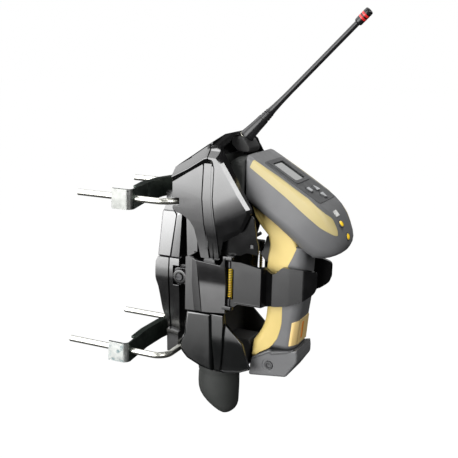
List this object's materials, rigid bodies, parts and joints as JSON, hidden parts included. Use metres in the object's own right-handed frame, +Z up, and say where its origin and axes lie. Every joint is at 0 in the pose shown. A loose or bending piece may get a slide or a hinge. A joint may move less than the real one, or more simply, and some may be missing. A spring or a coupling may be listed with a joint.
{
  "type": "data collector with pole-mounted charging cradle",
  "caption": "Charging cradle clamped to a pole by U-bolts, with a whip antenna, sprung jaws and a docked hand-held data collector that has a display, keys and a trigger.",
  "frame": {"origin": "on the clamped pole's axis, midway between the two U-bolts", "axes": "+Z up along the pole, +X from the pole to the data collector, +Y to the object's left as seen by someone facing it from the pole; symmetric about Y = 0"},
  "size_m": [0.2758, 0.1234, 0.3907],
  "materials": {
    "cradle_plastic": "semi-gloss black moulded",
    "bracket_plastic": "semi-gloss black moulded",
    "jaw_plastic": "gloss black moulded",
    "liner_plastic": "matt black",
    "zinc_steel": "bright zinc plated",
    "dark_steel": "black oxide",
    "spring_steel": "yellow passivated",
    "rubber_black": "matt rubber",
    "antenna_rubber": "satin rubber sleeve",
    "band_red": "satin",
    "brass_plated": "gold plated",
    "circuit_board": "solder mask",
    "shield_can": "stamped can",
    "reader_grey": "textured moulded",
    "reader_dark": "textured moulded",
    "reader_yellow": "soft-touch overmould",
    "clear_window": "polished",
    "scan_glass": "polished tinted",
    "amber_lens": "clear amber",
    "key_rubber": "silicone",
    "cell_wrap": "shrink wrap"
  },
  "bodies": {
    "bracket": {"bracket_upper": "bracket_plastic", "bracket_lower": "bracket_plastic", "u_bolt_upper": "zinc_steel", "u_bolt_lower": "zinc_steel", "strap_upper": "zinc_steel", "strap_lower": "zinc_steel", "u_bolt_nuts": "zinc_steel", "u_bolt_washers": "zinc_steel", "tilt_bolt": "dark_steel", "tilt_knob": "dark_steel", "tilt_nut": "dark_steel"},
    "cradle": {"spine_frame": "cradle_plastic", "head_rear_shell": "cradle_plastic", "head_front_hood": "cradle_plastic", "inner_bulkhead": "liner_plastic", "nose_pad": "rubber_black", "main_board": "circuit_board", "radio_module": "shield_can", "antenna_boss": "liner_plastic", "antenna_socket": "brass_plated", "collar_housing": "cradle_plastic", "lower_rear_shell": "cradle_plastic", "lower_front_cup": "cradle_plastic", "cable_boot": "rubber_black", "contact_block": "liner_plastic", "contact_pins": "brass_plated", "power_board": "circuit_board", "cable_socket": "shield_can", "jaw_hinge_pins": "dark_steel", "jaw_spring_near": "spring_steel", "jaw_spring_far": "spring_steel"},
    "jaw_near": {"jaw_near": "jaw_plastic"},
    "jaw_far": {"jaw_far": "jaw_plastic"},
    "antenna": {"antenna_base": "antenna_rubber", "antenna_whip": "antenna_rubber", "antenna_tip": "antenna_rubber", "antenna_bands": "band_red"},
    "reader": {"reader_shell_left": "reader_grey", "reader_shell_right": "reader_grey", "grip_overmould": "reader_yellow", "top_cover": "reader_dark", "display_window": "clear_window", "display_module": "shield_can", "status_lenses": "amber_lens", "side_stripe_left": "reader_yellow", "side_stripe_right": "reader_yellow", "rear_label": "reader_yellow", "nose_bumper": "rubber_black", "scan_window": "scan_glass", "scan_engine": "shield_can", "reader_board": "circuit_board", "battery_foot": "reader_grey", "battery_cell": "cell_wrap", "foot_screw": "dark_steel", "trigger_pin": "dark_steel"},
    "trigger": {"trigger": "reader_dark"},
    "key_enter": {"key_enter": "key_rubber"},
    "key_up": {"key_up": "key_rubber"},
    "key_down": {"key_down": "key_rubber"}
  },
  "joints": [
    {"name": "cradle_tilt", "type": "hinge", "parent": "bracket", "child": "cradle", "pos_m": [0.0235, 0, -0.003], "axis": [0, 1, 0], "range_deg": [-2, 4]},
    {"name": "jaw_near_open", "type": "hinge", "parent": "cradle", "child": "jaw_near", "pos_m": [0.083, -0.036, 0], "axis": [0, 0, -1], "range_deg": [0, 35], "stiffness_Nm_per_rad": 0.25, "springref_deg": -20.05},
    {"name": "jaw_far_open", "type": "hinge", "parent": "cradle", "child": "jaw_far", "pos_m": [0.083, 0.036, 0], "axis": [0, 0, 1], "range_deg": [0, 35], "stiffness_Nm_per_rad": 0.25, "springref_deg": -20.05},
    {"name": "antenna_turn", "type": "hinge", "parent": "cradle", "child": "antenna", "pos_m": [0.0768, 0, 0.1312], "axis": [0.6947, 0, 0.7193], "continuous": true},
    {"name": "reader_slide", "type": "slide", "parent": "cradle", "child": "reader", "axis": [1, 0, 0], "range_m": [0, 0.16]},
    {"name": "trigger_pull", "type": "hinge", "parent": "reader", "child": "trigger", "pos_m": [0.1142, 0, 0.0432], "axis": [0, -1, 0], "range_deg": [0, 9], "stiffness_Nm_per_rad": 0.3, "springref_deg": -6.88},
    {"name": "key_enter_press", "type": "slide", "parent": "reader", "child": "key_enter", "axis": [-0.5075, 0, -0.8616], "range_m": [0, 0.0009], "stiffness_N_per_m": 900, "springref_m": -0.0005},
    {"name": "key_up_press", "type": "slide", "parent": "reader", "child": "key_up", "axis": [-0.5075, 0, -0.8616], "range_m": [0, 0.0009], "stiffness_N_per_m": 900, "springref_m": -0.0005},
    {"name": "key_down_press", "type": "slide", "parent": "reader", "child": "key_down", "axis": [-0.5075, 0, -0.8616], "range_m": [0, 0.0009], "stiffness_N_per_m": 900, "springref_m": -0.0005}
  ]
}
